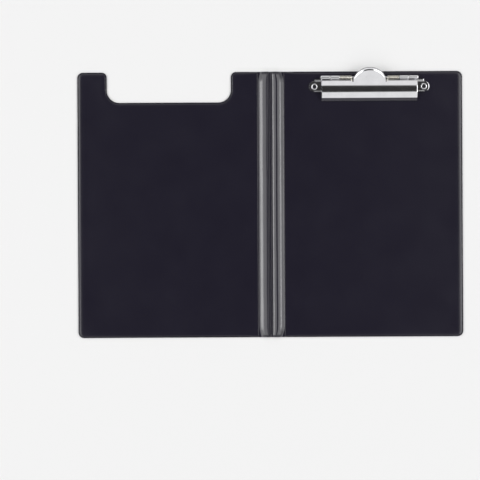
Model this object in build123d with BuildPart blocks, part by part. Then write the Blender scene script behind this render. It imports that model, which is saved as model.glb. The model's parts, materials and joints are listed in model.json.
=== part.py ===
"""Clipboard folder, lying open on its outside, in millimetres.

The back panel with the clip lies on +X and the front cover on -X, joined by a soft spine.
+Y points to the clip end and +Z up from the table. Each panel is a board welded between
two vinyl sheets. The spine is two strips with a crease at each panel and a fold between.
"""

from build123d import *
import math
import os

# Panels and spine
panel_height = 318.0
back_panel_width = 213.8
front_cover_width = 216.0
back_strip_width = 17.4
front_strip_width = 14.0
corner_radius = 6.7

# Sheets and board
outer_sheet_thickness = 0.35
inner_sheet_thickness = 0.30
board_thickness = 2.0
board_edge_radius = 0.6
weld_margin = 2.0

# Cut-out of the front cover, round the clip when the folder is shut
cutout_width = 148.9
cutout_depth = 36.4
outer_ear_width = 35.2
ear_radius = 6.0
cutout_radius = 15.0

# Creases and fold of the spine
crease_gap = 0.08
fold_gap = 0.45
fold_edge_thickness = 0.02
closed_panel_gap = 0.5
fold_behind_angle = 160.0
fold_relief_margin = 0.4
weld_land = 0.9
arch_clearance = 0.3
back_arch_height = 2.7
front_arch_height = 2.8
arch_end_height = 0.35
pinch_length = 11.0
back_apex_share = 0.50
front_apex_share = 0.74

# Clip base plate
clip_from_crease = 102.3
eyelet_spacing = 131.0
base_end_radius = 6.45
base_thickness = 1.0
eyelet_setback = 18.35
front_lip_height = 0.8
front_lip_thickness = 0.8
rear_wall_height = 2.4
flange_angle = 46.0
horn_length = 7.0

# Hinge pin and knuckles
pin_diameter = 2.4
pin_setback = 8.0
pin_height = 5.75
pin_head_diameter = 3.4
pin_head_length = 0.7
knuckle_wall = 0.9
running_clearance = 0.05
base_knuckle_inner_x = 47.2
base_knuckle_outer_x = 57.8
lever_knuckle_inner_x = 35.9
lever_knuckle_outer_x = 46.6

# Lever
lever_length = 113.8
lever_thickness = 0.9
lever_rear_setback = 11.0
lever_front_setback = 31.8
lever_radius = 20.0
lever_apex_height = 9.15
jaw_setback = 34.9
jaw_clearance = 0.1
tooth_pitch = 3.06
tooth_notch_width = 2.0
tooth_notch_depth = 0.8
tab_setback = 13.6
tab_radius = 20.6
tab_angle = 33.0
tab_bead_diameter = 2.0
strap_drop = 0.3

# Springs
wire_diameter = 0.8
spring_pin_clearance = 0.3
spring_turn_gap = 0.48
spring_turns = 10
spring_knuckle_gap = 0.6
spring_foot_gap = 0.1
spring_arm_length = 4.4

# Eyelets
eyelet_bore = 4.8
eyelet_wall = 0.5
eyelet_head_diameter = 8.0
eyelet_head_height = 0.7
eyelet_foot_diameter = 8.6
eyelet_foot_height = 0.5
eyelet_fit = 0.05

# Places worked out from the sizes above
total_width = front_cover_width + front_strip_width + back_strip_width + back_panel_width
front_edge_x = -total_width / 2
front_crease_x = front_edge_x + front_cover_width
fold_x = front_crease_x + front_strip_width
back_crease_x = fold_x + back_strip_width
back_edge_x = total_width / 2
clip_x = back_crease_x + clip_from_crease

tab_bead_radius = tab_bead_diameter / 2
tab_lean = math.radians(tab_angle)
tab_bead_path_radius = tab_radius - tab_bead_radius
tab_overhang = tab_bead_path_radius * math.cos(tab_lean) + tab_bead_radius - tab_setback
panel_y = -tab_overhang / 2
panel_top = panel_y + panel_height / 2
panel_bottom = panel_y - panel_height / 2

board_z = outer_sheet_thickness
board_top_z = board_z + board_thickness
face_z = board_top_z + inner_sheet_thickness
weld_z = face_z / 2
board_inset = weld_margin + outer_sheet_thickness
tray_inset = board_inset - inner_sheet_thickness

base_top_z = face_z + base_thickness
pin_y = panel_top - pin_setback
pin_z = face_z + pin_height
knuckle_bore = pin_diameter + 2 * running_clearance
knuckle_radius = knuckle_bore / 2 + knuckle_wall
eyelet_y = panel_top - eyelet_setback
eyelet_barrel = eyelet_bore + 2 * eyelet_wall
eyelet_hole = eyelet_barrel + 2 * eyelet_fit
eyelet_recess = eyelet_foot_diameter + 2 * eyelet_fit
eyelet_recess_depth = eyelet_foot_height + eyelet_fit
eyelet_places = {"left": clip_x - eyelet_spacing / 2, "right": clip_x + eyelet_spacing / 2}

crease_rise = (face_z + closed_panel_gap) / 2
fold_taper = math.radians(180.0 - fold_behind_angle) / 2
fold_relief = outer_sheet_thickness / math.tan(fold_taper) + fold_relief_margin

os.makedirs("parts", exist_ok=True)


def save(part, name):
    """Label a finished piece and write it to its own file."""
    part.label = name
    export_step(part, f"parts/{name}.step")


def back_outline(inset):
    """Back panel from above, pulled in by inset, round at the two corners away from the spine."""
    with BuildSketch(mode=Mode.PRIVATE) as outline:
        with Locations(((back_crease_x + back_edge_x) / 2, panel_y)):
            Rectangle(back_panel_width - 2 * inset, panel_height - 2 * inset)
        fillet(outline.vertices().group_by(Axis.X)[-1], corner_radius - inset)
    return outline.sketch


def front_outline(inset):
    """Front cover from above, pulled in by inset, with its cut-out at the clip end."""
    cutout_left = front_edge_x + outer_ear_width - inset
    cutout_right = front_edge_x + outer_ear_width + cutout_width + inset
    floor_y = panel_top - cutout_depth - inset
    top_y = panel_top - inset
    left_x = front_edge_x + inset
    bottom_y = panel_bottom + inset
    rounding = [
        (left_x, bottom_y, corner_radius - inset),
        (left_x, top_y, corner_radius - inset),
        (cutout_left, top_y, ear_radius - inset),
        (cutout_right, top_y, ear_radius - inset),
        (cutout_left, floor_y, cutout_radius + inset),
        (cutout_right, floor_y, cutout_radius + inset),
    ]
    with BuildSketch(mode=Mode.PRIVATE) as outline:
        with Locations(((front_edge_x + front_crease_x) / 2, panel_y)):
            Rectangle(front_cover_width - 2 * inset, panel_height - 2 * inset)
        with Locations(((cutout_left + cutout_right) / 2, (floor_y + top_y) / 2)):
            Rectangle(cutout_right - cutout_left, top_y - floor_y, mode=Mode.SUBTRACT)
        for corner_x, corner_y, radius in rounding:
            corner = outline.vertices().sort_by_distance((corner_x, corner_y))[0]
            fillet(corner, radius)
    return outline.sketch


def board_solid(outline):
    """Stiff board with softened edges."""
    with BuildPart() as board:
        with BuildSketch(Plane.XY.offset(board_z)):
            add(outline(board_inset))
        extrude(amount=board_thickness)
        top_and_bottom = board.faces().filter_by(Axis.Z)
        fillet(top_and_bottom.edges(), board_edge_radius)
    return board.part


def outer_sheet_solid(outline, board):
    """Sheet under a board, lying on the table, that rises to the weld round the panel."""
    with BuildPart() as sheet:
        with BuildSketch(Plane.XY.offset(weld_z - outer_sheet_thickness)):
            add(outline(0))
        extrude(amount=outer_sheet_thickness)
        with BuildSketch(Plane.XY):
            add(outline(weld_margin))
        extrude(amount=weld_z)
        fillet(sheet.faces().sort_by(Axis.Z)[0].edges(), board_edge_radius + outer_sheet_thickness)
        add(board, mode=Mode.SUBTRACT)
    return sheet.part


def inner_sheet_solid(outline, board):
    """Sheet over a board that comes down to the weld round the panel."""
    with BuildPart() as sheet:
        with BuildSketch(Plane.XY.offset(weld_z)):
            add(outline(0))
        extrude(amount=inner_sheet_thickness)
        with BuildSketch(Plane.XY.offset(weld_z)):
            add(outline(tray_inset))
        extrude(amount=face_z - weld_z)
        fillet(sheet.faces().sort_by(Axis.Z)[-1].edges(), board_edge_radius + inner_sheet_thickness)
        add(board, mode=Mode.SUBTRACT)
    return sheet.part


# Front cover: board, outer sheet and inner sheet
front_board = board_solid(front_outline)
save(front_board, "front_board")
save(outer_sheet_solid(front_outline, front_board), "front_outer_sheet")
save(inner_sheet_solid(front_outline, front_board), "front_inner_sheet")

# Back panel, where the eyelets pass through the board and the inner sheet
back_blank = board_solid(back_outline)
save(outer_sheet_solid(back_outline, back_blank), "back_outer_sheet")

with BuildPart() as back_board:
    add(back_blank)
    with BuildSketch(Plane.XY.offset(board_z)):
        with Locations(*[(place_x, eyelet_y) for place_x in eyelet_places.values()]):
            Circle(eyelet_hole / 2)
    extrude(amount=board_thickness, mode=Mode.SUBTRACT)
    with BuildSketch(Plane.XY.offset(board_z)):
        with Locations(*[(place_x, eyelet_y) for place_x in eyelet_places.values()]):
            Circle(eyelet_recess / 2)
    extrude(amount=eyelet_recess_depth, mode=Mode.SUBTRACT)
save(back_board.part, "back_board")

with BuildPart() as back_inner_sheet:
    add(inner_sheet_solid(back_outline, back_blank))
    with BuildSketch(Plane.XY.offset(board_top_z)):
        with Locations(*[(place_x, eyelet_y) for place_x in eyelet_places.values()]):
            Circle(eyelet_hole / 2)
    extrude(amount=inner_sheet_thickness, mode=Mode.SUBTRACT)
save(back_inner_sheet.part, "back_inner_sheet")


def strip_outer_solid(crease_x):
    """Flat outer sheet of one spine strip, thinned towards the fold so that the cover can fold behind."""
    side = math.copysign(1, crease_x - fold_x)
    low_z = weld_z - outer_sheet_thickness
    fold_edge = fold_x + side * fold_gap
    crease_edge = crease_x - side * crease_gap
    with BuildPart() as strip:
        with BuildSketch(Plane.XZ.offset(-panel_top)):
            with BuildLine():
                Polyline(
                    (fold_edge, weld_z),
                    (crease_edge, weld_z),
                    (crease_edge, low_z),
                    (fold_x + side * fold_relief, low_z),
                    (fold_edge, weld_z - fold_edge_thickness),
                    close=True,
                )
            make_face()
        extrude(amount=panel_height)
    return strip.part


save(strip_outer_solid(back_crease_x), "back_strip_outer_sheet")
save(strip_outer_solid(front_crease_x), "front_strip_outer_sheet")


def arch_section(place_y, crease_x, apex_share, arch_height):
    """Section of an arched inner sheet at one place along the spine, between its two welds."""
    side = math.copysign(1, crease_x - fold_x)
    crease_edge = crease_x - side * arch_clearance
    fold_edge = fold_x + side * arch_clearance
    arch_start = crease_edge - side * weld_land
    arch_end = fold_edge + side * weld_land
    apex_x = arch_start + (arch_end - arch_start) * apex_share
    level = {"under": weld_z, "over": weld_z + inner_sheet_thickness}

    def arc_middle(low_x, z):
        """Middle of the arc from a weld up to the apex, which is level at the apex."""
        run = low_x - apex_x
        radius = (run**2 + arch_height**2) / (2 * arch_height)
        half_angle = math.asin(run / radius) / 2
        drop = radius * (1 - math.cos(half_angle))
        return (apex_x + radius * math.sin(half_angle), z + arch_height - drop)

    with BuildSketch(Plane.XZ.offset(-place_y)) as section:
        with BuildLine():
            for z in level.values():
                Line((crease_edge, z), (arch_start, z))
                ThreePointArc((arch_start, z), arc_middle(arch_start, z), (apex_x, z + arch_height))
                ThreePointArc((apex_x, z + arch_height), arc_middle(arch_end, z), (arch_end, z))
                Line((arch_end, z), (fold_edge, z))
            Line((crease_edge, level["under"]), (crease_edge, level["over"]))
            Line((fold_edge, level["under"]), (fold_edge, level["over"]))
        make_face()
    return section.sketch


def strip_inner_solid(crease_x, apex_share, arch_height):
    """Arched inner sheet of one spine strip, drawn in where it is welded at both ends."""
    places = [
        (panel_bottom, arch_end_height),
        (panel_bottom + pinch_length, arch_height),
        (panel_top - pinch_length, arch_height),
        (panel_top, arch_end_height),
    ]
    with BuildPart() as strip:
        for place_y, height in places:
            add(arch_section(place_y, crease_x, apex_share, height))
        loft(ruled=True)
    return strip.part


save(strip_inner_solid(back_crease_x, back_apex_share, back_arch_height), "back_strip_inner_sheet")
save(strip_inner_solid(front_crease_x, front_apex_share, front_arch_height), "front_strip_inner_sheet")


# Clip base: plate with rounded ends, a lip in front, a low wall behind and two outer knuckles
clip_plane = Plane.YZ.offset(clip_x)
plate_front_y = eyelet_y - base_end_radius
flange_lean = math.radians(flange_angle)
flange_up = (math.cos(flange_lean), math.sin(flange_lean))
flange_out = (math.sin(flange_lean), -math.cos(flange_lean))


def knuckle_pair(inner_x, outer_x):
    """Middles and length of two like knuckles, one each side of the clip's middle."""
    middle = (inner_x + outer_x) / 2
    return [clip_x - middle, clip_x + middle], outer_x - inner_x


def flange_point(depth, z):
    """Point at height z on the flange plane that passes depth away from the pin's axis."""
    start_y = pin_y + depth * flange_out[0]
    start_z = pin_z + depth * flange_out[1]
    return (start_y + (z - start_z) * flange_up[0] / flange_up[1], z)


base_knuckles, base_knuckle_length = knuckle_pair(base_knuckle_inner_x, base_knuckle_outer_x)
flange_top_rear = (pin_y + knuckle_radius * flange_out[0], pin_z + knuckle_radius * flange_out[1])
flange_inner_depth = knuckle_bore / 2
flange_top_front = (
    pin_y + flange_inner_depth * flange_out[0],
    pin_z + flange_inner_depth * flange_out[1],
)
plate_rear_y = flange_point(knuckle_radius, face_z)[0]

with BuildPart() as clip_base:
    with BuildSketch(Plane.XY.offset(face_z)):
        with Locations((clip_x, eyelet_y)):
            SlotCenterToCenter(eyelet_spacing, 2 * base_end_radius)
        with Locations((clip_x, (eyelet_y + plate_rear_y) / 2)):
            Rectangle(eyelet_spacing, plate_rear_y - eyelet_y)
    extrude(amount=base_thickness)
    with BuildSketch(Plane.XY.offset(face_z)):
        with Locations((clip_x, plate_front_y + front_lip_thickness / 2)):
            Rectangle(eyelet_spacing, front_lip_thickness)
    extrude(amount=base_thickness + front_lip_height)
    with BuildSketch(Plane.XZ.offset(-plate_rear_y)):
        with BuildLine():
            Polyline(
                (clip_x - eyelet_spacing / 2, face_z),
                (clip_x + eyelet_spacing / 2, face_z),
                (clip_x + eyelet_spacing / 2, base_top_z),
                (clip_x + eyelet_spacing / 2 - horn_length / 2, face_z + rear_wall_height),
                (clip_x - eyelet_spacing / 2 + horn_length / 2, face_z + rear_wall_height),
                (clip_x - eyelet_spacing / 2, base_top_z),
                close=True,
            )
        make_face()
    extrude(amount=base_thickness)
    for knuckle_x in base_knuckles:
        with BuildSketch(Plane.YZ.offset(knuckle_x)):
            with BuildLine():
                Polyline(
                    flange_point(knuckle_radius, face_z),
                    flange_top_rear,
                    flange_top_front,
                    flange_point(flange_inner_depth, face_z),
                    close=True,
                )
            make_face()
            with Locations((pin_y, pin_z)):
                Circle(knuckle_radius)
                Circle(knuckle_bore / 2, mode=Mode.SUBTRACT)
        extrude(amount=base_knuckle_length / 2, both=True)
    with BuildSketch(Plane.XY.offset(face_z)):
        with Locations(*[(place_x, eyelet_y) for place_x in eyelet_places.values()]):
            Circle(eyelet_hole / 2)
    extrude(amount=base_thickness, mode=Mode.SUBTRACT)
save(clip_base.part, "clip_base")


# Hinge pin with a low head at each end
pin_length = 2 * base_knuckle_outer_x + 2 * running_clearance
with BuildPart() as hinge_pin:
    with BuildSketch(clip_plane):
        with Locations((pin_y, pin_z)):
            Circle(pin_diameter / 2)
    extrude(amount=pin_length / 2, both=True)
    for side in (-1, 1):
        with BuildSketch(Plane.YZ.offset(clip_x + side * pin_length / 2)):
            with Locations((pin_y, pin_z)):
                Circle(pin_head_diameter / 2)
        extrude(amount=side * pin_head_length)
    end_faces = hinge_pin.faces().filter_by(Axis.X).sort_by(Axis.X)
    fillet([end_faces[0].edges()[0], end_faces[-1].edges()[0]], pin_head_length / 2)
save(hinge_pin.part, "hinge_pin")


# Lever: arched plate with a turned-down toothed jaw, two inner knuckles and a thumb tab
lever_apex_z = face_z + lever_apex_height
lever_rear_y = panel_top - lever_rear_setback
lever_front_y = panel_top - lever_front_setback
lever_middle_y = (lever_rear_y + lever_front_y) / 2
under_radius = lever_radius - lever_thickness
arc_centre_z = lever_apex_z - lever_radius
jaw_y = panel_top - jaw_setback
jaw_z = face_z + jaw_clearance


def under_arc_z(y):
    """Height of the underside of the lever's arch at a place across it."""
    return arc_centre_z + math.sqrt(under_radius**2 - (y - lever_middle_y) ** 2)


tab_hinge_y = panel_top - tab_setback
tab_hinge_z = under_arc_z(tab_hinge_y)
tab_plane = Plane(
    origin=(clip_x, tab_hinge_y, tab_hinge_z),
    x_dir=(1, 0, 0),
    z_dir=(0, -math.sin(tab_lean), math.cos(tab_lean)),
)
lever_knuckles, lever_knuckle_length = knuckle_pair(lever_knuckle_inner_x, lever_knuckle_outer_x)
tooth_count = int(lever_length / tooth_pitch)
strap_top_z = pin_z + knuckle_radius
strap_end_z = under_arc_z(lever_rear_y) + strap_drop

with BuildPart() as clip_lever:
    with BuildSketch(clip_plane):
        with BuildLine():
            ThreePointArc(
                (lever_rear_y, under_arc_z(lever_rear_y)),
                (lever_middle_y, arc_centre_z + under_radius),
                (lever_front_y, under_arc_z(lever_front_y)),
            )
            Line((lever_front_y, under_arc_z(lever_front_y)), (jaw_y, jaw_z))
            offset(amount=lever_thickness, side=Side.RIGHT)
        make_face()
    extrude(amount=lever_length / 2, both=True)
    with BuildSketch(Plane.XY.offset(face_z)):
        with Locations((clip_x, (tab_hinge_y + lever_rear_y) / 2 + lever_thickness)):
            Rectangle(2 * tab_radius, lever_rear_y - tab_hinge_y + 2 * lever_thickness)
    extrude(amount=lever_apex_height, mode=Mode.SUBTRACT)
    with BuildSketch(Plane.XZ.offset(-jaw_y - lever_thickness)):
        with Locations((clip_x, jaw_z)):
            with GridLocations(tooth_pitch, 1, tooth_count, 1):
                Polygon(
                    (-tooth_notch_width, -tooth_notch_depth),
                    (tooth_notch_width, -tooth_notch_depth),
                    (0, tooth_notch_depth),
                    align=None,
                )
    extrude(amount=2 * lever_thickness, mode=Mode.SUBTRACT)
    for knuckle_x in lever_knuckles:
        with BuildSketch(Plane.YZ.offset(knuckle_x)):
            with BuildLine():
                Polyline(
                    (pin_y, strap_top_z),
                    (lever_rear_y, strap_end_z + lever_thickness),
                    (lever_rear_y, strap_end_z),
                    (pin_y, strap_top_z - knuckle_wall),
                    close=True,
                )
            make_face()
            with Locations((pin_y, pin_z)):
                Circle(knuckle_radius)
                Circle(knuckle_bore / 2, mode=Mode.SUBTRACT)
        extrude(amount=lever_knuckle_length / 2, both=True)
    with BuildSketch(tab_plane):
        Circle(tab_bead_path_radius)
        with Locations((0, -tab_radius / 2)):
            Rectangle(2 * tab_radius, tab_radius, mode=Mode.SUBTRACT)
    extrude(amount=lever_thickness)
    with BuildLine(tab_plane.offset(lever_thickness / 2)) as rim:
        CenterArc((0, 0), tab_bead_path_radius, 0, 180)
    with BuildSketch(Plane(origin=rim.line @ 0, z_dir=rim.line % 0)):
        Circle(tab_bead_radius)
    sweep(path=rim.line)
save(clip_lever.part, "clip_lever")


# Springs: one unbroken wire each, foot on the board, coil round the pin, arm on the lever
coil_radius = pin_diameter / 2 + spring_pin_clearance + wire_diameter / 2
coil_pitch = wire_diameter + spring_turn_gap
coil_foot_angle = 180.0
coil_arm_angle = 90.0
coil_sweep = 360.0 * spring_turns + coil_foot_angle - coil_arm_angle
quarter_count = math.ceil(coil_sweep / 90.0)
coil_outer_x = lever_knuckle_inner_x - spring_knuckle_gap - wire_diameter / 2


def coil_point(side, share):
    """Point on the coil's middle line; share runs from 0 at the foot to 1 at the arm."""
    turn = math.radians(coil_foot_angle - share * coil_sweep)
    along = coil_outer_x - share * coil_pitch * coil_sweep / 360.0
    across = -coil_radius * math.cos(turn)
    up = coil_radius * math.sin(turn)
    return Vector(clip_x + side * along, pin_y + across, pin_z + up)


def coil_direction(side, share):
    """Direction of the wire at a place on the coil."""
    turn = math.radians(coil_foot_angle - share * coil_sweep)
    climb = -side * coil_pitch / (2 * math.pi)
    across = -coil_radius * math.sin(turn)
    up = -coil_radius * math.cos(turn)
    return Vector(climb, across, up).normalized()


def add_biarc(start, start_way, end, end_way):
    """Two arcs that join smoothly, from start to end, leaving and arriving the given ways."""
    chord = end - start
    ways = start_way + end_way
    square = 2 * (start_way.dot(end_way) - 1)
    root = math.sqrt(chord.dot(ways) ** 2 - square * chord.dot(chord))
    reach = (chord.dot(ways) - root) / square
    middle = (start + start_way * reach + end - end_way * reach) * 0.5
    TangentArc(start, middle, tangent=start_way)
    middle_way = (end - end_way * reach - start - start_way * reach).normalized()
    TangentArc(middle, end, tangent=middle_way)


def spring_solid(side):
    """Coil spring on one side of the thumb tab."""
    first = coil_point(side, 0)
    first_way = coil_direction(side, 0)
    last = coil_point(side, 1)
    last_way = coil_direction(side, 1)
    foot_length = (first.Z - face_z - wire_diameter / 2 - spring_foot_gap) / first_way.Z
    with BuildPart() as spring:
        with BuildLine() as wire:
            Line(first - first_way * foot_length, first)
            for quarter in range(quarter_count):
                start = quarter / quarter_count
                end = (quarter + 1) / quarter_count
                add_biarc(
                    coil_point(side, start),
                    coil_direction(side, start),
                    coil_point(side, end),
                    coil_direction(side, end),
                )
            Line(last, last + last_way * spring_arm_length)
        with BuildSketch(Plane(origin=wire.line @ 0, z_dir=wire.line % 0)):
            Circle(wire_diameter / 2)
        sweep(path=wire.line)
    return spring.part, wire.wires()[0].length


def least_turn_gap(side):
    """Least gap between one turn of the wire and the next, measured on points of its middle line."""
    steps_per_turn = 72
    count = int(coil_sweep / 360.0 * steps_per_turn)
    points = [coil_point(side, step / count) for step in range(count + 1)]
    first_turn = points[: steps_per_turn + 1]
    gaps = []
    for step, here in enumerate(first_turn):
        for there in points[step + steps_per_turn // 2 : step + 2 * steps_per_turn]:
            gaps.append((there - here).length - wire_diameter)
    return min(gaps)


for name, side in (("spring_left", -1), ("spring_right", 1)):
    spring, wire_length = spring_solid(side)
    save(spring, name)
    section_area = math.pi * wire_diameter**2 / 4
    print(name, "volume", round(spring.volume, 3), "section times length",
          round(section_area * wire_length, 3), "least gap", round(least_turn_gap(side), 3))


# Eyelets: rolled head on the base plate, barrel through the board, foot spread behind it
for name, place_x in eyelet_places.items():
    with BuildPart() as eyelet:
        with BuildSketch(Plane.XZ.offset(-eyelet_y)):
            with BuildLine():
                Polyline(
                    (place_x + eyelet_bore / 2, board_z),
                    (place_x + eyelet_foot_diameter / 2, board_z),
                    (place_x + eyelet_foot_diameter / 2, board_z + eyelet_foot_height),
                    (place_x + eyelet_barrel / 2, board_z + eyelet_foot_height),
                    (place_x + eyelet_barrel / 2, base_top_z),
                    (place_x + eyelet_head_diameter / 2, base_top_z),
                    (place_x + eyelet_head_diameter / 2, base_top_z + eyelet_head_height),
                    (place_x + eyelet_bore / 2, base_top_z + eyelet_head_height),
                    close=True,
                )
            make_face()
        revolve(axis=Axis((place_x, eyelet_y, 0), (0, 0, 1)))
        head_edges = eyelet.faces().filter_by(Axis.Z).sort_by(Axis.Z)[-1].edges()
        fillet(head_edges, eyelet_head_height * 0.45)
    save(eyelet.part, f"eyelet_{name}")

print("fold axis x", round(fold_x, 4), "back crease x", round(back_crease_x, 4),
      "front crease x", round(front_crease_x, 4), "weld z", round(weld_z, 4))
print("pin y", round(pin_y, 4), "pin z", round(pin_z, 4), "clip x", round(clip_x, 4))
print("rise at each crease when shut", round(crease_rise, 4))
print("panel top", round(panel_top, 4), "panel bottom", round(panel_bottom, 4))
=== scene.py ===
"""Clipboard folder lying open: welded vinyl panels, a soft spine and a sprung clip, in metres."""
import json
import math

import bpy
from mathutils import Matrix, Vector, noise
from mathutils.geometry import delaunay_2d_cdt


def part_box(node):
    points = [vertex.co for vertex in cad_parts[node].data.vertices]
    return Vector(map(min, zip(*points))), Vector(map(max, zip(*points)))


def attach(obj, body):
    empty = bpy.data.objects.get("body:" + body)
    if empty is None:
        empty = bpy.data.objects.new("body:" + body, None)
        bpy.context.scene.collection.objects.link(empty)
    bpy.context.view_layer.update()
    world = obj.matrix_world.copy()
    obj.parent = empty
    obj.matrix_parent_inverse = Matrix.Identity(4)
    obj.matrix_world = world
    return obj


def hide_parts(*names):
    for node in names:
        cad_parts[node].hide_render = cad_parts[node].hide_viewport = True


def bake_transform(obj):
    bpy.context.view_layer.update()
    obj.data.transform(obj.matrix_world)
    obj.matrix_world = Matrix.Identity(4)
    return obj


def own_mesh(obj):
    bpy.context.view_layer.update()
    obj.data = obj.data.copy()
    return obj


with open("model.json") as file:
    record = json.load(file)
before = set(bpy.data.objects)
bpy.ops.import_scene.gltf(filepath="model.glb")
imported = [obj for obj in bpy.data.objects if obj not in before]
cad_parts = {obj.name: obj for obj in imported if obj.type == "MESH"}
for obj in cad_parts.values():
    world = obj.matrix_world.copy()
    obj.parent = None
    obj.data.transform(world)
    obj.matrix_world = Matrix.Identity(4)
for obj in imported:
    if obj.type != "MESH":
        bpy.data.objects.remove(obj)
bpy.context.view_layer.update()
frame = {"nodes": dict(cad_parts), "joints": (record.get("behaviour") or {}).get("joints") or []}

mm = 0.001

# Places read from the frame
joints = {joint["name"]: joint for joint in frame["joints"]}
fold_x = joints["spine_fold"]["pos_m"][0]
weld_z = joints["spine_fold"]["pos_m"][2]
clip_x, pin_y, pin_z = joints["clip_hinge"]["pos_m"]
front_low, front_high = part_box("front_inner_sheet")
back_low, back_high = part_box("back_inner_sheet")
base_low, base_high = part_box("clip_base")
lever_low, lever_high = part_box("clip_lever")
eyelet_boxes = {side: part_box("eyelet_" + side) for side in ("left", "right")}
front_edge_x = front_low.x
front_crease_x = front_high.x
back_crease_x = back_low.x
back_edge_x = back_high.x
panel_top = back_high.y
panel_bottom = back_low.y
face_z = back_high.z

# Panels
corner_radius = 6.7 * mm
spine_corner_radius = 0.5 * mm
inner_thickness = 0.30 * mm
outer_thickness = 0.35 * mm
cutout_left = front_edge_x + 35.2 * mm
cutout_width = 148.9 * mm
cutout_depth = 36.4 * mm
ear_radius = 6.0 * mm
cutout_radius = 15.0 * mm
grid_step = 6.0 * mm
grid_gap = grid_step * 0.4
edge_step = 6.0 * mm
arc_steps = 10
least_bend_share = 0.2
hole_steps = 32
hole_collar = 0.5 * mm
hole_tolerance = 0.98
merge_distance = 1e-7

# Section of a panel's edge: distance in from the edge in mm, and rise as a share from the weld to the face
edge_section = [
    (0.0, -0.04),
    (0.12, 0.0),
    (0.40, 0.0),
    (0.60, 0.0),
    (1.36, 0.0),
    (1.41, 0.10),
    (1.45, 0.74),
    (1.56, 0.84),
    (2.00, 0.90),
    (2.60, 0.98),
    (4.00, 1.07),
    (5.30, 1.12),
    (7.00, 1.13),
    (10.0, 1.05),
    (14.0, 1.00),
]
crease_section = [
    (0.0, 0.0),
    (0.12, 0.0),
    (0.40, 0.10),
    (0.60, 1.0),
    (14.0, 1.0),
]
crease_blend = 8.0 * mm
waviness = 0.04 * mm
wave_length = 60.0 * mm
wave_level = 0.3
wave_clearance = 20.0 * mm

# Sections of the spine's strips: place from the crease (0) to the fold (1), and tilt in degrees
front_tilts = [
    (0.0, 0.0),
    (0.03, 2.0),
    (0.10, 13.0),
    (0.19, 19.0),
    (0.30, 21.0),
    (0.41, 19.5),
    (0.50, 15.0),
    (0.62, 12.5),
    (0.74, 10.0),
    (0.83, 0.0),
    (0.88, -50.0),
    (0.97, -60.0),
    (0.99, -10.0),
    (1.0, 0.0),
]
back_tilts = [
    (0.0, 0.0),
    (0.03, 18.0),
    (0.07, 27.0),
    (0.15, 26.0),
    (0.22, 21.0),
    (0.30, 17.0),
    (0.38, 14.5),
    (0.45, 11.0),
    (0.51, 0.0),
    (0.56, -11.0),
    (0.66, -13.5),
    (0.71, -18.5),
    (0.79, -23.0),
    (0.82, -45.0),
    (0.87, -50.0),
    (0.89, -6.0),
    (0.92, 0.0),
    (1.0, 0.0),
]
outer_tilts = [
    (0.0, 0.0),
    (0.10, 4.0),
    (0.30, 2.5),
    (0.60, -2.5),
    (0.90, -4.0),
    (1.0, 0.0),
]
section_steps = 400
outer_fold_length = 3.5 * mm
outer_fold_share = 0.04
pinch_length = 3.0 * mm
pinch_share = 0.72
narrow_length = 12.0 * mm
pinch_narrowing = 0.16
strip_rows = 90
strip_columns = 64

# Slow changes along the strips: how much, how long, and where in the noise
drift_share = 0.02
drift_length = 45.0 * mm
drift_spread = 40.0
drift_level = 0.7
plump_share = 0.04
plump_length = 28.0 * mm
plump_spread = 90.0
plump_level = 3.1

# Clip: sheet metal, and the bends of its sections as length and turn in degrees
metal_thickness = 0.9 * mm
metal_rounding = 0.38 * mm
rounding_steps = 3
rounded_angle = 50.0
metal_step = 1.0 * mm
metal_turn = 9.0
metal_column = 1.5 * mm
metal_gap = 0.10 * mm
shortest_edge = 0.12 * mm
same_row = 1e-9
base_end_radius = 6.45 * mm
base_end_start = -48.0
base_end_turn = 128.0
base_end_steps = 16
base_flat_length = 9.9 * mm
base_half = (eyelet_boxes["right"][0].x - eyelet_boxes["left"][0].x) / 2
eyelet_y = (eyelet_boxes["left"][0].y + eyelet_boxes["left"][1].y) / 2
eyelet_hole_radius = 2.95 * mm
base_top_z = face_z + 1.0 * mm
lip_height = 0.7 * mm
lip_bend = 0.5 * mm
lip_overhang = 0.6 * mm
lip_margin = 0.1 * mm
rear_slope = 12.6
rear_bend = 2.4 * mm
rear_length = 3.4 * mm
horn_start = 0.4 * mm
horn_length = 0.3 * mm
flange_angle = 46.0
knuckle_radius = 2.15 * mm
knuckle_curl = 285.0
base_knuckle_reach = (47.2 * mm, 57.8 * mm)
lever_knuckle_reach = (35.9 * mm, 46.6 * mm)
lever_length = 113.8 * mm
lever_front_radius = 20.0 * mm
lever_crown_radius = 32.0 * mm
lever_rear_radius = 15.9 * mm
lever_front_angle = 33.0
lever_crown_angle = 7.0
lever_rear_angle = 29.0
lever_rear_y = panel_top - 11.70 * mm
lever_rear_z = face_z + 7.04 * mm
lever_corner = 0.5 * mm
rear_notch_half = 20.6 * mm
rear_notch_depth = 2.0 * mm
strap_back = 0.3 * mm
strap_lift = 0.1 * mm
jaw_slope = 58.6
jaw_bend = 1.4 * mm
jaw_length = 4.8 * mm
tip_slope = 43.0
tip_bend = 0.6 * mm
tip_length = 0.25 * mm
tooth_count = 37
tooth_notch = 1.2 * mm
tooth_share = 0.34

# Thumb tab: flat half ellipse whose rim curls over
tab_thickness = 0.8 * mm
tab_rounding = 0.3 * mm
tab_lean = math.radians(33.0)
tab_hinge_y = panel_top - 14.09 * mm
tab_hinge_z = face_z + 7.66 * mm
tab_side_radius = 1.8 * mm
tab_curl_radius = 4.5 * mm
tab_curl_side = math.radians(50.0)
tab_curl_top = math.radians(83.0)
tab_half_width = 18.5 * mm
tab_taper = 0.08
tab_rings = 6
tab_first_ring = 0.05
tab_curl_steps = 14
tab_steps = 72

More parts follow.
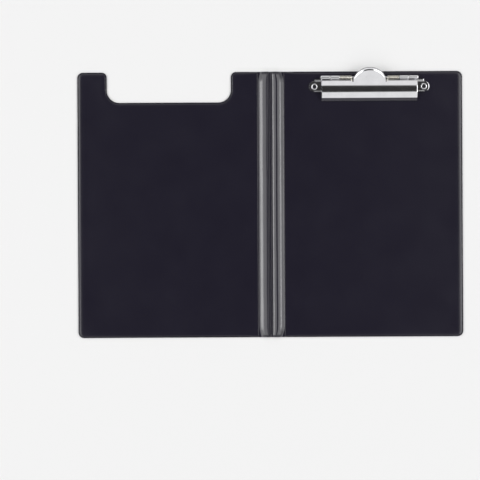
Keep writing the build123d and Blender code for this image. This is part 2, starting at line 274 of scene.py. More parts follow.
# Eyelets
eyelet_bore = 2.3 * mm
eyelet_barrel = 2.9 * mm
eyelet_head = 3.7 * mm
eyelet_head_inset = 0.15 * mm
eyelet_roll_gap = 0.05 * mm
eyelet_foot_height = 0.5 * mm
eyelet_roll_steps = 12
eyelet_steps = 56

# Sharpest turns that are still shaded smooth, in degrees
panel_smooth_turn = 38.0
strip_smooth_turn = 60.0
metal_smooth_turn = 60.0

# Materials: the range of a noise that colours and roughness follow, and the depth of drawn lines
noise_low = 0.3
noise_high = 0.7
line_depth = 0.01 * mm

# Floor, and brightness of the room by how high one looks, from level (0) to straight up (1)
floor_half = 16.0
floor_level = 0.80
floor_lift = 0.03
room_levels = [(0.0, 0.15), (0.37, 0.22), (0.43, 0.80), (0.925, 0.80), (0.955, 0.035), (1.0, 0.025)]

# Lights at both sides: a large soft box and a narrow bright bar
box_distance = 4.14
box_elevation = math.radians(51.0)
box_length = 3.0
box_height = 3.2
box_radiance = 1.5
bar_distance = 4.0
bar_elevation = math.radians(49.0)
bar_length = 1.6
bar_height = 0.42
bar_radiance = 6.5

# Camera: straight down, at the photograph's scale
camera_height = 1.6
camera_lens = 100.0
camera_sensor = 36.0
camera_x = -36.5 * mm
camera_y = -44.3 * mm
camera_turn = math.radians(-0.3)
camera_reach = 20.0


def place_camera():
    """Camera over the folder, looking straight down."""
    data = bpy.data.cameras.new("camera")
    data.lens = camera_lens
    data.sensor_width = camera_sensor
    data.clip_end = camera_reach
    camera = bpy.data.objects.new("camera", data)
    bpy.context.scene.collection.objects.link(camera)
    camera.location = (camera_x, camera_y, camera_height)
    camera.rotation_euler = (0.0, 0.0, camera_turn)
    bpy.context.scene.camera = camera


def smooth_step(value):
    """Share from 0 to 1 that starts and ends gently."""
    value = min(max(value, 0.0), 1.0)
    return value * value * (3 - 2 * value)


def value_along(points, place):
    """Value at a place on the line through points."""
    for (x0, v0), (x1, v1) in zip(points, points[1:]):
        if place <= x1:
            return v0 + (v1 - v0) * max(place - x0, 0.0) / (x1 - x0)
    return points[-1][1]


def heights_from_tilts(tilts, width):
    """Heights across a strip, summed up from its tilts, and scaled after the crest to end at the weld."""
    heights = [0.0]
    for i in range(section_steps):
        tilt = value_along(tilts, (i + 0.5) / section_steps)
        heights.append(heights[-1] + math.tan(math.radians(tilt)) * width / section_steps)
    crest = max(heights)
    at_crest = heights.index(crest)
    fall = crest - heights[-1]
    for i in range(at_crest, section_steps + 1):
        heights[i] = crest - (crest - heights[i]) * crest / fall
    return [(i / section_steps, height) for i, height in enumerate(heights)]


def new_piece(name, points, faces, material, sharp_angle=panel_smooth_turn):
    """Mesh object from points and faces, smooth except at sharp edges."""
    mesh = bpy.data.meshes.new(name)
    mesh.from_pydata(points, [], faces)
    mesh.validate()
    mesh.materials.append(material)
    mesh.shade_smooth()
    mesh.set_sharp_from_angle(angle=math.radians(sharp_angle))
    mesh.update()
    piece = bpy.data.objects.new(name, mesh)
    bpy.context.scene.collection.objects.link(piece)
    return piece


def outline_ring(corners, inset):
    """Points round an outline of square corners with radii, pulled in by inset."""
    count = len(corners)
    ends = []
    arcs = []
    for i, (x, y, radius, turn) in enumerate(corners):
        here = Vector((x, y))
        before = Vector(corners[i - 1][:2])
        after = Vector(corners[(i + 1) % count][:2])
        way_in = (here - before).normalized()
        way_out = (after - here).normalized()
        normal_in = Vector((-way_in.y, way_in.x))
        normal_out = Vector((-way_out.y, way_out.x))
        shifted = here + (normal_in + normal_out) * inset
        bend_radius = max(radius - turn * inset, least_bend_share * radius)
        start = shifted - way_in * bend_radius
        centre = start + normal_in * bend_radius * turn
        arc = []
        for step in range(arc_steps + 1):
            angle = math.pi / 2 * step / arc_steps
            aside = normal_in * bend_radius * turn * math.cos(angle)
            arc.append(centre - aside + way_in * bend_radius * math.sin(angle))
        arcs.append(arc)
        ends.append((here, after))
    ring = []
    for i in range(count):
        ring.extend(arcs[i])
        here, after = ends[i]
        pieces = max(2, int((after - here).length / edge_step))
        start = arcs[i][-1]
        end = arcs[(i + 1) % count][0]
        for step in range(1, pieces):
            ring.append(start.lerp(end, step / pieces))
    return ring


def inside(polygon, x, y):
    """Whether a point lies inside a polygon."""
    found = False
    for i in range(len(polygon)):
        a = polygon[i - 1]
        b = polygon[i]
        if (a.y > y) != (b.y > y):
            if x < (b.x - a.x) * (y - a.y) / (b.y - a.y) + a.x:
                found = not found
    return found


def circle_points(x, y, radius):
    """Points round a circle."""
    turn = 2 * math.pi / hole_steps
    angles = [turn * i for i in range(hole_steps)]
    return [Vector((x + radius * math.cos(angle), y + radius * math.sin(angle))) for angle in angles]


def filled(border, holes, spots, least_gap):
    """Triangles inside a border, outside round holes, through the spots that keep clear of both.

    Gives the points in the order border, holes, spots and rings round the holes, and the triangles as
    the numbers of their points.
    """
    points = list(border)
    edges = [(i, (i + 1) % len(border)) for i in range(len(border))]
    for x, y, radius in holes:
        first = len(points)
        rim = circle_points(x, y, radius)
        points.extend(rim)
        edges.extend([(first + i, first + (i + 1) % len(rim)) for i in range(len(rim))])
    fixed = list(points)
    for spot in spots:
        if not inside(border, spot.x, spot.y):
            continue
        if any((spot - Vector(hole[:2])).length < hole[2] + least_gap for hole in holes):
            continue
        if min((spot - point).length_squared for point in fixed) < least_gap**2:
            continue
        points.append(spot)
    for x, y, radius in holes:
        points.extend(circle_points(x, y, radius + hole_collar))
    found, _, triangles, sources, _, _ = delaunay_2d_cdt(points, edges, [], 1, merge_distance)
    number = {i: sources[i][0] for i in range(len(found)) if sources[i]}
    kept = []
    for triangle in triangles:
        middle = sum((found[i] for i in triangle), Vector((0, 0))) / len(triangle)
        if any((middle - Vector(hole[:2])).length < hole[2] * hole_tolerance for hole in holes):
            continue
        kept.append(tuple(number[i] for i in triangle))
    return points, kept


def panel_sheet(name, corners, is_inner, material, holes=()):
    """Closed vinyl sheet of a panel: flat weld round the edge, puffed over the board's edge."""
    thickness = inner_thickness if is_inner else outer_thickness
    weld_face = weld_z + thickness if is_inner else weld_z - thickness
    face = face_z if is_inner else 0.0
    points = []
    faces = []
    rings = []
    crease_x = min((x for x, _, _, _ in corners), key=lambda x: abs(x - fold_x))
    for inset, share in edge_section:
        if not is_inner:
            share = min(share, 1.0)
        crease_share = value_along(crease_section, inset)
        start = len(points)
        for p in outline_ring(corners, inset * mm):
            reach = abs(p.x - crease_x) - inset * mm
            near = 1 - smooth_step(reach / crease_blend)
            here = share + (crease_share - share) * near
            points.append(Vector((p.x, p.y, weld_face + (face - weld_face) * here)))
        rings.append(list(range(start, len(points))))
    for outer, inner in zip(rings, rings[1:]):
        for j in range(len(outer)):
            k = (j + 1) % len(outer)
            faces.append((outer[j], outer[k], inner[k], inner[j]))

    border = [points[i].xy for i in rings[-1]]
    low_x = min(p.x for p in border)
    high_x = max(p.x for p in border)
    low_y = min(p.y for p in border)
    high_y = max(p.y for p in border)
    columns = int((high_x - low_x) / grid_step)
    rows = int((high_y - low_y) / grid_step)
    spots = []
    for i in range(1, columns):
        for j in range(1, rows):
            x = low_x + (high_x - low_x) * i / columns
            y = low_y + (high_y - low_y) * j / rows
            spots.append(Vector((x, y)))
    flat, triangles = filled(border, holes, spots, grid_gap)
    index = list(rings[-1])
    for spot in flat[len(border):]:
        index.append(len(points))
        points.append(Vector((spot.x, spot.y, face)))
    faces.extend([tuple(index[i] for i in triangle) for triangle in triangles])

    if is_inner:
        wave(points, len(rings[0]) * len(rings))
    shift = Vector((0, 0, -thickness if is_inner else thickness))
    count = len(points)
    under = [tuple(reversed([i + count for i in face_points])) for face_points in faces]
    points = points + [p + shift for p in points]
    loops = [rings[0]]
    for k in range(len(holes)):
        first = len(border) + k * hole_steps
        loops.append([index[i] for i in reversed(range(first, first + hole_steps))])
    walls = []
    for loop in loops:
        for j in range(len(loop)):
            k = (j + 1) % len(loop)
            walls.append((loop[k], loop[j], loop[j] + count, loop[k] + count))
    faces = faces + under + walls
    if not is_inner:
        faces = [tuple(reversed(face_points)) for face_points in faces]
    return new_piece(name, points, faces, material)


def wave(points, first):
    """Lift the inner points of a sheet a little, as vinyl lies, but not under the clip."""
    for point in points[first:]:
        clip_reach = max(base_low.x - point.x, point.x - base_high.x, lever_low.y - point.y, 0.0)
        clear = smooth_step(clip_reach / wave_clearance)
        value = noise.noise(Vector((point.x, point.y, wave_level)) / wave_length)
        point.z += waviness * value * clear


def slow_change(crease_x, y, length, spread, level):
    """Slow change along the strips at one crease, between -1 and 1."""
    return noise.noise(Vector((crease_x * spread, y / length, level)))


def strip_sheet(name, crease_x, tilts, is_inner, material):
    """Closed vinyl sheet of a spine strip: arched inside, or rounded outside and thin at the fold."""
    thickness = inner_thickness if is_inner else outer_thickness
    side = 1.0 if is_inner else -1.0
    width = fold_x - crease_x
    section = heights_from_tilts(tilts, abs(width))
    points = []
    under = []
    for row in range(strip_rows + 1):
        share_y = row / strip_rows
        y = panel_bottom + (panel_top - panel_bottom) * (1 - math.cos(math.pi * share_y)) / 2
        reach = min(y - panel_bottom, panel_top - y)
        swell = pinch_share + (1 - pinch_share) * smooth_step(reach / pinch_length)
        narrow = pinch_narrowing * (1 - smooth_step(reach / narrow_length))
        drift = drift_share * slow_change(crease_x, y, drift_length, drift_spread, drift_level)
        plump = 1 + plump_share * slow_change(crease_x, y, plump_length, plump_spread, plump_level)
        for column in range(strip_columns + 1):
            share = column / strip_columns
            place = (share - narrow) / (1 - narrow) if share > narrow else 0.0
            drifted = place + drift * math.sin(math.pi * place)
            height = value_along(section, drifted) * swell * plump
            x = crease_x + width * share
            here = thickness
            if not is_inner:
                here *= min(abs(fold_x - x) / outer_fold_length + outer_fold_share, 1.0)
            points.append(Vector((x, y, weld_z + side * (here + height))))
            under.append(Vector((x, y, weld_z + side * height)))
    count = len(points)
    points = points + under
    columns = strip_columns + 1
    faces = []
    for row in range(strip_rows):
        for column in range(strip_columns):
            a = row * columns + column
            faces.append((a, a + 1, a + columns + 1, a + columns))
            faces.append((a + count, a + columns + count, a + columns + 1 + count, a + 1 + count))
    for row in range(strip_rows):
        for a in (row * columns, (row + 1) * columns - 1):
            wall = (a, a + columns, a + columns + count, a + count)
            faces.append(wall if a % columns == 0 else tuple(reversed(wall)))
    for column in range(strip_columns):
        for a in (column, strip_rows * columns + column):
            wall = (a + 1, a, a + count, a + 1 + count)
            faces.append(wall if a < columns else tuple(reversed(wall)))
    flip = (width < 0) != (not is_inner)
    if flip:
        faces = [tuple(reversed(face_points)) for face_points in faces]
    return new_piece(name, points, faces, material, strip_smooth_turn)


def bent_path(heading, moves, end_y, end_z):
    """Section of a bent sheet as (distance, y, z), from its front to a given end."""
    points = [(0.0, 0.0, 0.0)]
    angle = math.radians(heading)
    for length, turn in moves:
        steps = max(1, math.ceil(max(length / metal_step, abs(turn) / metal_turn)))
        run = length / steps
        for _ in range(steps):
            angle += math.radians(turn) / steps / 2
            distance, y, z = points[-1]
            points.append((distance + run, y + run * math.cos(angle), z + run * math.sin(angle)))
            angle += math.radians(turn) / steps / 2
    _, last_y, last_z = points[-1]
    return [(distance, y + end_y - last_y, z + end_z - last_z) for distance, y, z in points]


def bend(radius, degrees):
    """Length and turn of a bend."""
    return (radius * math.radians(abs(degrees)), degrees)


def point_on(path, x, distance):
    """Point of a bent sheet at a place across it and a distance along its section."""
    for (s0, y0, z0), (s1, y1, z1) in zip(path, path[1:]):
        if distance <= s1 or s1 == path[-1][0]:
            share = (distance - s0) / (s1 - s0)
            return Vector((clip_x + x, y0 + (y1 - y0) * share, z0 + (z1 - z0) * share))


def divided(outline, path):
    """Outline of a blank with more points, where it crosses the rows of its section."""
    border = []
    for i, (x0, s0) in enumerate(outline):
        x1, s1 = outline[(i + 1) % len(outline)]
        length = math.hypot(x1 - x0, s1 - s0)
        if abs(s1 - s0) < same_row:
            shares = [k * metal_step / length for k in range(1, int(length / metal_step))]
        else:
            shares = [(s - s0) / (s1 - s0) for s, _, _ in path]
        least = shortest_edge / length
        shares = sorted(share for share in shares if least < share < 1 - least)
        border.append(Vector((x0, s0)))
        border.extend([Vector((x0 + (x1 - x0) * share, s0 + (s1 - s0) * share)) for share in shares])
    return border


def firm(piece, thickness, rounding, over=False):
    """Give an open sheet its thickness, below its face or over it, and round its edges."""
    solid = piece.modifiers.new("thickness", "SOLIDIFY")
    solid.thickness = thickness
    solid.offset = 1.0 if over else -1.0
    edges = piece.modifiers.new("rounding", "BEVEL")
    edges.width = rounding
    edges.segments = rounding_steps
    edges.limit_method = "ANGLE"
    edges.angle_limit = math.radians(rounded_angle)
    graph = bpy.context.evaluated_depsgraph_get()
    mesh = bpy.data.meshes.new_from_object(piece.evaluated_get(graph))
    piece.modifiers.clear()
    piece.data = mesh
    mesh.shade_smooth()
    mesh.set_sharp_from_angle(angle=math.radians(metal_smooth_turn))
    return piece


def stamped(name, outline, path, material, holes=(), over=False):
    """Sheet metal blank bent along a section; the outline is across and along the section."""
    low_x = min(x for x, _ in outline)
    high_x = max(x for x, _ in outline)
    columns = max(2, round((high_x - low_x) / metal_column))
    spots = []
    for distance, _, _ in path:
        for i in range(1, columns):
            spots.append(Vector((low_x + (high_x - low_x) * i / columns, distance)))
    flat, triangles = filled(divided(outline, path), holes, spots, metal_gap)
    piece = new_piece(name, [point_on(path, spot.x, spot.y) for spot in flat], triangles, material)
    return firm(piece, metal_thickness, metal_rounding, over)


def joined(name, pieces):
    """One object from several."""
    first = pieces[0]
    with bpy.context.temp_override(active_object=first, object=first, selected_editable_objects=pieces):
        bpy.ops.object.join()
    first.name = name
    first.data.name = name
    return first


def curled_straps(names, reach, path, material):
    """Two strips of sheet metal, left and right of the clip's middle, bent along one section."""
    low, high = reach
    length = path[-1][0]
    straps = []
    for name, start, end in zip(names, (-high, low), (-low, high)):
        outline = [(start, 0.0), (end, 0.0), (end, length), (start, length)]
        straps.append(stamped(name, outline, path, material, over=True))
    return straps


def clip_base(material):
    """Base plate with a lip in front, a raised rear edge and two knuckles curled round the pin."""
    moves = [
        (lip_height, 0.0),
        bend(lip_bend, 90.0),
        (base_flat_length, 0.0),
        bend(rear_bend, rear_slope),
        (rear_length, 0.0),
    ]
    lean = math.radians(rear_slope)
    rise = rear_bend * (1 - math.cos(lean)) + rear_length * math.sin(lean)
    reach = rear_bend * math.sin(lean) + rear_length * math.cos(lean)
    front_y = eyelet_y - base_end_radius + metal_thickness + lip_bend
    path = bent_path(-90.0, moves, front_y + base_flat_length + reach, base_top_z + rise)
    lip_end = lip_height + lip_bend * math.pi / 2
    middle = lip_end + eyelet_y - front_y
    total = path[-1][0]
    right = []
    for step in range(base_end_steps + 1):
        angle = math.radians(base_end_start + base_end_turn * step / base_end_steps)
        x = base_half + base_end_radius * math.cos(angle)
        right.append((x, middle + base_end_radius * math.sin(angle)))
    rear = [(base_half, middle + base_end_radius + horn_start), (base_half - horn_length, total)]
    lip = [(base_half + lip_overhang, 0.0), (base_half + lip_overhang, lip_end + lip_margin)]
    half = lip + right + rear
    outline = half + [(-x, s) for x, s in reversed(half)]
    holes = [(-base_half, middle, eyelet_hole_radius), (base_half, middle, eyelet_hole_radius)]
    pieces = [stamped("base_plate", outline, path, material, holes)]

    lean = math.radians(flange_angle)
    contact_y = pin_y + knuckle_radius * math.sin(lean)
    contact_z = pin_z - knuckle_radius * math.cos(lean)
    flange_length = (contact_z - face_z) / math.sin(lean)
    path = bent_path(flange_angle, [(flange_length, 0.0), bend(knuckle_radius, knuckle_curl)], 0.0, 0.0)
    path = path_shift(path, flange_length, contact_y, contact_z)
    pieces.extend(curled_straps(("left_knuckle", "right_knuckle"), base_knuckle_reach, path, material))
    return joined("clip_base_metal", pieces)


def path_shift(path, distance, y, z):
    """Section moved so that the point at a distance along it lies at y and z."""
    at = point_on(path, 0.0, distance)
    return [(s, y0 + y - at.y, z0 + z - at.z) for s, y0, z0 in path]


def clip_lever(material):
    """Arched lever with a toothed jaw in front, two knuckles curled round the pin and a thumb tab."""
    moves = [
        (tip_length, 0.0),
        bend(tip_bend, jaw_slope - tip_slope),
        (jaw_length, 0.0),
        bend(jaw_bend, lever_front_angle - jaw_slope),
        bend(lever_front_radius, -lever_front_angle),
        bend(lever_crown_radius, -lever_crown_angle),
        bend(lever_rear_radius, lever_crown_angle - lever_rear_angle),
    ]
    path = bent_path(tip_slope, moves, lever_rear_y, lever_rear_z)
    total = path[-1][0]
    half = lever_length / 2
    pitch = lever_length / tooth_count
    tooth = pitch * tooth_share
    outline = []
    for k in range(tooth_count):
        start = -half + pitch * k
        outline.append((start + (pitch - tooth) / 2, 0.0))
        outline.append((start + (pitch + tooth) / 2, 0.0))
        if k < tooth_count - 1:
            outline.append((start + pitch, tooth_notch))
    notch = total - rear_notch_depth
    right = [(half, tooth_notch), (half, total - lever_corner), (half - lever_corner, total)]
    right.extend([(rear_notch_half, total), (rear_notch_half, notch)])
    outline.extend(right + [(-x, s) for x, s in reversed(right)])
    pieces = [stamped("lever_plate", outline, path, material)]

    lean = math.radians(lever_rear_angle)
    start_y = lever_rear_y - metal_thickness * math.sin(lean) - strap_back
    start_z = lever_rear_z - metal_thickness * math.cos(lean) + strap_lift
    to_pin = Vector((pin_y - start_y, pin_z - start_z))
    drop = math.asin(knuckle_radius / to_pin.length)
    heading = math.degrees(math.atan2(to_pin.y, to_pin.x) - drop)
    strap = to_pin.length * math.cos(drop)
    path = bent_path(heading, [(strap, 0.0), bend(knuckle_radius, knuckle_curl)], 0.0, 0.0)
    path = path_shift(path, 0.0, start_y, start_z)
    pieces.extend(curled_straps(("left_curl", "right_curl"), lever_knuckle_reach, path, material))
    pieces.append(thumb_tab(material))
    return joined("clip_lever_metal", pieces)


def thumb_tab(material):
    """Flat leaning tab, round at its end, with its rim curled over."""
    top_reach = lever_high.y - tab_hinge_y
    curl_reach = tab_curl_radius * (
        math.sin(tab_curl_top) * math.cos(tab_lean) + (1 - math.cos(tab_curl_top)) * math.sin(tab_lean)
    )
    tab_length = (top_reach - curl_reach) / math.cos(tab_lean)
    along = Vector((0, math.cos(tab_lean), math.sin(tab_lean)))
    over = Vector((0, -math.sin(tab_lean), math.cos(tab_lean)))
    origin = Vector((clip_x, tab_hinge_y, tab_hinge_z))
    points = [origin]
    for ring in range(1, tab_rings + tab_curl_steps + 1):
        for step in range(tab_steps + 1):
            angle = math.pi * step / tab_steps
            share = min(max(ring - 1, tab_first_ring) / (tab_rings - 1), 1.0)
            taper = 1 - tab_taper * math.sin(2 * angle) ** 2
            across = tab_half_width * taper * math.cos(angle) * share
            up = tab_length * math.sin(angle) * share
            depth = 0.0
            if ring > tab_rings:
                outward = Vector((math.cos(angle) / tab_half_width, math.sin(angle) / tab_length))
                outward.normalize()
                radius = tab_side_radius + (tab_curl_radius - tab_side_radius) * math.sin(angle)
                curl = tab_curl_side + (tab_curl_top - tab_curl_side) * math.sin(angle)
                curl *= (ring - tab_rings) / tab_curl_steps
                across += outward.x * radius * math.sin(curl)
                up += outward.y * radius * math.sin(curl)
                depth = radius * (1 - math.cos(curl))
            points.append(origin + Vector((across, 0, 0)) + along * up - over * depth)
    columns = tab_steps + 1
    faces = [(0, 1 + step, 2 + step) for step in range(tab_steps)]
    for ring in range(tab_rings + tab_curl_steps - 1):
        for step in range(tab_steps):
            a = 1 + ring * columns + step
            faces.append((a, a + columns, a + columns + 1, a + 1))
    piece = new_piece("thumb_tab", points, faces, material)
    return firm(piece, tab_thickness, tab_rounding)


def rolled_eyelet(name, low, high, material):
    """Eyelet with a rolled head on the plate, a barrel through the board and a spread foot."""
    foot = (high.x - low.x) / 2
    foot_top = low.z + eyelet_foot_height
    profile = [(eyelet_bore, low.z), (foot, low.z), (foot, foot_top), (eyelet_barrel, foot_top)]
    profile.extend([(eyelet_barrel, base_top_z), (eyelet_head - eyelet_head_inset, base_top_z)])
    roll_middle = (eyelet_head + eyelet_bore) / 2
    roll_reach = (eyelet_head - eyelet_bore) / 2
    roll_low = base_top_z + eyelet_roll_gap
    for step in range(eyelet_roll_steps + 1):
        angle = math.pi * step / eyelet_roll_steps
        z = roll_low + (high.z - roll_low) * math.sin(angle)
        profile.append((roll_middle + roll_reach * math.cos(angle), z))
    middle = (low + high) / 2
    points = []
    for step in range(eyelet_steps):
        angle = 2 * math.pi * step / eyelet_steps
        for radius, z in profile:
            x = middle.x + radius * math.cos(angle)
            y = middle.y + radius * math.sin(angle)
            points.append(Vector((x, y, z)))
    count = len(profile)
    faces = []
    for step in range(eyelet_steps):
        following = (step + 1) % eyelet_steps
        for i in range(count):
            j = (i + 1) % count
            faces.append((step * count + i, following * count + i, following * count + j, step * count + j))
    return new_piece(name, points, faces, material)


def nodes_of(name):
    """New material with a Principled shader, short ways to add and join nodes, and object coordinates."""
    material = bpy.data.materials.new(name)
    material.use_nodes = True
    tree = material.node_tree
    shader = tree.nodes["Principled BSDF"]

    def add(kind, **settings):
        node = tree.nodes.new(kind)
        for key, value in settings.items():
            if key.startswith("in_"):
                node.inputs[key[3:].replace("_", " ")].default_value = value
            else:
                setattr(node, key, value)
        return node

    def join(source, target):
        tree.links.new(source, target)

    place = add("ShaderNodeTexCoord").outputs["Object"]
    return material, shader, add, join, place


def ramp_between(add, join, source, low, high, low_colour, high_colour):
    """Colour that goes from one to another as the source goes from low to high."""
    ramp = add("ShaderNodeValToRGB")
    ramp.color_ramp.elements[0].position = low
    ramp.color_ramp.elements[0].color = (*low_colour, 1.0)
    ramp.color_ramp.elements[1].position = high
    ramp.color_ramp.elements[1].color = (*high_colour, 1.0)
    join(source, ramp.inputs["Fac"])
    return ramp.outputs["Color"]


def value_between(add, join, source, low, high, low_value, high_value):
    """Number that goes from one to another as the source goes from low to high."""
    node = add("ShaderNodeMapRange")
    node.inputs["From Min"].default_value = low
    node.inputs["From Max"].default_value = high
    node.inputs["To Min"].default_value = low_value
    node.inputs["To Max"].default_value = high_value
    join(source, node.inputs["Value"])
    return node.outputs["Result"]


def noise_over(add, join, place, **settings):
    """Noise texture over the given coordinates."""
    node = add("ShaderNodeTexNoise", **settings)
    join(place, node.inputs["Vector"])
    return node


def bump_from(add, join, height, strength, distance, **settings):
    """Bump of a given depth from a height."""
    node = add("ShaderNodeBump", in_Strength=strength, in_Distance=distance, **settings)
    join(height, node.inputs["Height"])
    return node


def smooth_vinyl():
    """Inside of the folder: smooth satin vinyl with faint cloudiness and a very fine skin."""
    material, shader, add, join, place = nodes_of("smooth_vinyl")
    cloud = noise_over(add, join, place, in_Scale=22.0, in_Detail=4.0, in_Roughness=0.6).outputs["Fac"]
    dark = (0.0120, 0.0105, 0.0195)
    pale = (0.0135, 0.0120, 0.0215)
    join(ramp_between(add, join, cloud, noise_low, noise_high, dark, pale), shader.inputs["Base Color"])
    join(value_between(add, join, cloud, noise_low, noise_high, 0.15, 0.18), shader.inputs["Roughness"])
    skin = noise_over(add, join, place, in_Scale=1400.0, in_Detail=2.0)
    bump = bump_from(add, join, skin.outputs["Fac"], 0.10, 0.02 * mm)
    join(bump.outputs["Normal"], shader.inputs["Normal"])
    shader.inputs["Specular IOR Level"].default_value = 0.68
    return material


def grained_vinyl():
    """Outside of the folder: vinyl pressed with a leather grain, duller in clouds, with painted shade
    darkening its grooves.
    """
    material, shader, add, join, place = nodes_of("grained_vinyl")
    warp = noise_over(add, join, place, in_Scale=300.0, in_Detail=3.0)
    shifted = add("ShaderNodeVectorMath", operation="MULTIPLY_ADD")
    join(warp.outputs["Color"], shifted.inputs[0])
    shifted.inputs[1].default_value = (0.0012, 0.0012, 0.0012)
    join(place, shifted.inputs[2])
    cells = add("ShaderNodeTexVoronoi", feature="SMOOTH_F1", in_Scale=760.0)
    cells.inputs["Smoothness"].default_value = 0.35
    join(shifted.outputs["Vector"], cells.inputs["Vector"])
    cell = cells.outputs["Distance"]
    fine = noise_over(add, join, place, in_Scale=2600.0, in_Detail=3.0)
    cloud = noise_over(add, join, place, in_Scale=16.0, in_Detail=3.0).outputs["Fac"]
    middle = (0.0105, 0.0105, 0.0180)
    # Painted shade: the base colour darkens from the middle of each grain cell towards the grooves between
    # cells
    groove_shade = (0.0050, 0.0050, 0.0090)
    join(ramp_between(add, join, cell, 0.05, 0.75, middle, groove_shade), shader.inputs["Base Color"])
    join(value_between(add, join, cloud, noise_low, noise_high, 0.36, 0.50), shader.inputs["Roughness"])
    grain = bump_from(add, join, cell, 0.55, 0.22 * mm, invert=True)
    skin = bump_from(add, join, fine.outputs["Fac"], 0.25, 0.04 * mm)
    join(grain.outputs["Normal"], skin.inputs["Normal"])
    join(skin.outputs["Normal"], shader.inputs["Normal"])
    return material


def greyboard():
    """Stiff board inside a panel, seen only where a panel is cut open."""
    material, shader, add, join, place = nodes_of("greyboard")
    fibre = noise_over(add, join, place, in_Scale=420.0, in_Detail=6.0).outputs["Fac"]
    dark = (0.26, 0.22, 0.17)
    pale = (0.40, 0.35, 0.28)
    join(ramp_between(add, join, fibre, noise_low, noise_high, dark, pale), shader.inputs["Base Color"])
    shader.inputs["Roughness"].default_value = 0.9
    bump = bump_from(add, join, fibre, 0.3, 0.1 * mm)
    join(bump.outputs["Normal"], shader.inputs["Normal"])
    return material


def plated_metal(name, bright, dull, low_roughness, high_roughness):
    """Plated steel: fine drawn lines along X and a cloudy polish."""
    material, shader, add, join, place = nodes_of(name)
    shader.inputs["Metallic"].default_value = 1.0
    stretch = add("ShaderNodeMapping")
    stretch.inputs["Scale"].default_value = (30.0, 2200.0, 2200.0)
    join(place, stretch.inputs["Vector"])
    lines = noise_over(add, join, stretch.outputs["Vector"], in_Scale=1.0, in_Detail=3.0)
    cloud = noise_over(add, join, place, in_Scale=90.0, in_Detail=4.0).outputs["Fac"]
    join(ramp_between(add, join, cloud, noise_low, noise_high, bright, dull), shader.inputs["Base Color"])
    polish = value_between(add, join, cloud, noise_low, 0.75, low_roughness, high_roughness)
    join(polish, shader.inputs["Roughness"])
    bump = bump_from(add, join, lines.outputs["Fac"], 0.15, line_depth)
    join(bump.outputs["Normal"], shader.inputs["Normal"])
    return material


def floor_material():
    """Plain pale floor that shows a little whiter to the camera and in reflections."""
    material, shader, add, join, _ = nodes_of("pale_floor")
    shader.inputs["Base Color"].default_value = (floor_level, floor_level, floor_level, 1.0)
    shader.inputs["Roughness"].default_value = 0.9
    shader.inputs["Specular IOR Level"].default_value = 0.1
    rays = add("ShaderNodeLightPath")
    seen = add("ShaderNodeMath", operation="MAXIMUM")
    join(rays.outputs["Is Camera Ray"], seen.inputs[0])
    join(rays.outputs["Is Glossy Ray"], seen.inputs[1])
    through = add("ShaderNodeMath", operation="MAXIMUM")
    join(seen.outputs["Value"], through.inputs[0])
    join(rays.outputs["Is Transmission Ray"], through.inputs[1])
    lift = add("ShaderNodeMath", operation="MULTIPLY")
    join(through.outputs["Value"], lift.inputs[0])
    lift.inputs[1].default_value = floor_lift
    shader.inputs["Emission Color"].default_value = (1.0, 1.0, 1.0, 1.0)
    join(lift.outputs["Value"], shader.inputs["Emission Strength"])
    return material


def soft_light(name, side, distance, elevation, length, height, radiance):
    """Area light at one side (-1 or 1) that faces the folder; its length runs along Y."""
    place = Vector((side * distance * math.cos(elevation), 0.0, distance * math.sin(elevation)))
    data = bpy.data.lights.new(name, "AREA")
    data.shape = "RECTANGLE"
    data.size = length
    data.size_y = height
    data.energy = radiance * math.pi * length * height
    light = bpy.data.objects.new(name, data)
    bpy.context.scene.collection.objects.link(light)
    light.location = place
    light.rotation_euler = place.to_track_quat("Z", "Y").to_euler()
    light.visible_camera = False


def light_the_scene():
    """Pale room, dim low down and dark straight above, with a soft box and a brighter bar on each side."""
    world = bpy.data.worlds.new("room")
    bpy.context.scene.world = world
    world.use_nodes = True
    tree = world.node_tree
    background = tree.nodes["Background"]
    direction = tree.nodes.new("ShaderNodeTexCoord").outputs["Generated"]
    split = tree.nodes.new("ShaderNodeSeparateXYZ")
    tree.links.new(direction, split.inputs["Vector"])
    ramp = tree.nodes.new("ShaderNodeValToRGB")
    tree.links.new(split.outputs["Z"], ramp.inputs["Fac"])
    elements = ramp.color_ramp.elements
    elements[0].position = room_levels[0][0]
    elements[1].position = room_levels[-1][0]
    for place, _ in room_levels[1:-1]:
        elements.new(place)
    for element, (_, level) in zip(elements, room_levels):
        element.color = (level, level, level, 1.0)
    tree.links.new(ramp.outputs["Color"], background.inputs["Color"])
    background.inputs["Strength"].default_value = 1.0
    box = (box_distance, box_elevation, box_length, box_height, box_radiance)
    bar = (bar_distance, bar_elevation, bar_length, bar_height, bar_radiance)
    for name, side in (("left", -1.0), ("right", 1.0)):
        soft_light("soft_box_" + name, side, *box)
        soft_light("soft_strip_" + name, side, *bar)


place_camera()

inside_vinyl = smooth_vinyl()
outside_vinyl = grained_vinyl()
board_material = greyboard()
clip_metal = plated_metal("bright_nickel", (0.92, 0.92, 0.94), (0.86, 0.86, 0.88), 0.07, 0.13)
pin_metal = plated_metal("pin_steel", (0.66, 0.66, 0.66), (0.52, 0.52, 0.52), 0.18, 0.30)
spring_metal = plated_metal("spring_wire", (0.88, 0.85, 0.77), (0.76, 0.72, 0.64), 0.22, 0.35)
eyelet_metal = plated_metal("eyelet_nickel", (0.90, 0.90, 0.92), (0.80, 0.80, 0.82), 0.12, 0.22)

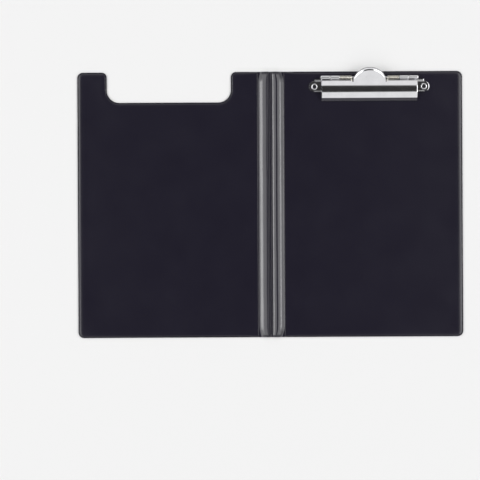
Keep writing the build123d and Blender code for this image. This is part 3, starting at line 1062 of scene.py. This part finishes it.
back_corners = [
    (back_crease_x, panel_bottom, spine_corner_radius, 1),
    (back_edge_x, panel_bottom, corner_radius, 1),
    (back_edge_x, panel_top, corner_radius, 1),
    (back_crease_x, panel_top, spine_corner_radius, 1),
]
cutout_right = cutout_left + cutout_width
cutout_floor = panel_top - cutout_depth
front_corners = [
    (front_edge_x, panel_bottom, corner_radius, 1),
    (front_crease_x, panel_bottom, spine_corner_radius, 1),
    (front_crease_x, panel_top, spine_corner_radius, 1),
    (cutout_right, panel_top, ear_radius, 1),
    (cutout_right, cutout_floor, cutout_radius, -1),
    (cutout_left, cutout_floor, cutout_radius, -1),
    (cutout_left, panel_top, ear_radius, 1),
    (front_edge_x, panel_top, corner_radius, 1),
]
eyelet_holes = []
for low, high in eyelet_boxes.values():
    eyelet_holes.append(((low.x + high.x) / 2, (low.y + high.y) / 2, eyelet_hole_radius))

panels = [
    ("front_inner_skin", front_corners, True, inside_vinyl, (), "front_cover", "front_inner_sheet"),
    ("front_outer_skin", front_corners, False, outside_vinyl, (), "front_cover", "front_outer_sheet"),
    ("back_inner_skin", back_corners, True, inside_vinyl, eyelet_holes, "back_panel", "back_inner_sheet"),
    ("back_outer_skin", back_corners, False, outside_vinyl, (), "back_panel", "back_outer_sheet"),
]
for name, corners, is_inner, material, holes, body, node in panels:
    skin = panel_sheet(name, corners, is_inner, material, holes)
    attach(skin, body)
    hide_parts(node)

strips = [
    ("front_strip", front_crease_x, front_tilts, "front_cover"),
    ("back_strip", back_crease_x, back_tilts, "back_panel"),
]
for body, crease_x, tilts, panel in strips:
    arched = strip_sheet(body + "_inner_skin", crease_x, tilts, True, inside_vinyl)
    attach(arched, body)
    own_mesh(arched)
    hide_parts(body + "_inner_sheet")
    rolled = strip_sheet(body + "_outer_skin", crease_x, outer_tilts, False, outside_vinyl)
    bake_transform(rolled)
    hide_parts(body + "_outer_sheet")

base = clip_base(clip_metal)
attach(base, "back_panel")
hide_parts("clip_base")
lever = clip_lever(clip_metal)
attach(lever, "clip_jaw")
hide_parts("clip_lever")
for side, (low, high) in eyelet_boxes.items():
    eyelet = rolled_eyelet("rolled_eyelet_" + side, low, high, eyelet_metal)
    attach(eyelet, "back_panel")
    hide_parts("eyelet_" + side)

kept_nodes = {
    "front_board": board_material,
    "back_board": board_material,
    "hinge_pin": pin_metal,
    "spring_left": spring_metal,
    "spring_right": spring_metal,
}
for node, material in kept_nodes.items():
    part = frame["nodes"][node]
    part.data.materials.clear()
    part.data.materials.append(material)

floor_corners = [
    (-floor_half, -floor_half, 0),
    (floor_half, -floor_half, 0),
    (floor_half, floor_half, 0),
    (-floor_half, floor_half, 0),
]
floor = new_piece("floor", floor_corners, [(0, 1, 2, 3)], floor_material())
light_the_scene()
bpy.context.scene.view_settings.view_transform = "Standard"
